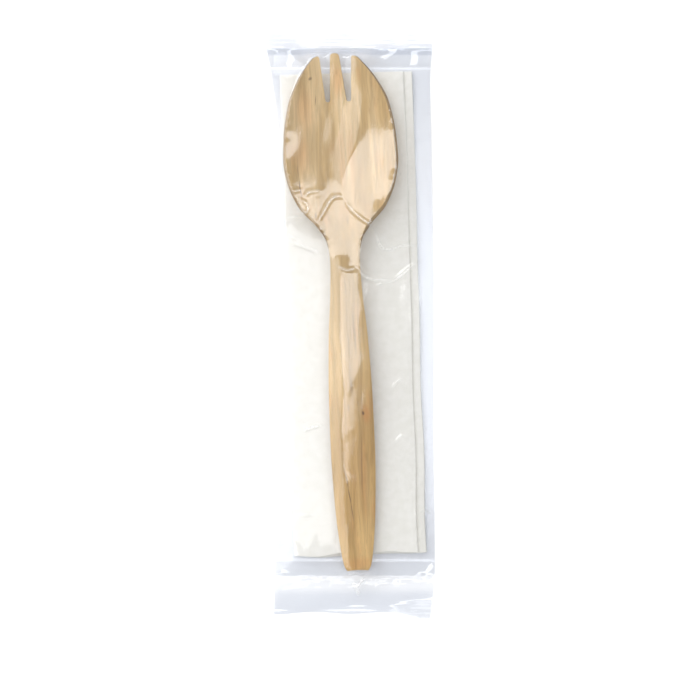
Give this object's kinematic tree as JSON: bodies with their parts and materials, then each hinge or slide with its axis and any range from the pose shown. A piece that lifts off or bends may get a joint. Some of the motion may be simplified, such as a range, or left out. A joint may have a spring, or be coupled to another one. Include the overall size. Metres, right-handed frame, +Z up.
{
  "type": "wooden cutlery pack",
  "caption": "Wooden spork lying on a folded paper napkin, wrapped in a clear film sleeve with a heat seal across each end.",
  "frame": {"origin": "on the table under the middle of the pack, which lies flat on its back", "axes": "+Y along the pack towards the spork's tines, +X across the pack, +Z up out of the pack's front"},
  "size_m": [0.047, 0.165, 0.0086],
  "materials": {
    "birch_veneer": "pressed and sanded birch veneer, uncoated, matt",
    "white_tissue": "soft white tissue, lightly embossed",
    "clear_film": "clear glossy plastic film"
  },
  "bodies": {
    "root": {"spork": "birch_veneer", "napkin": "white_tissue", "film_sleeve": "clear_film"}
  },
  "joints": []
}
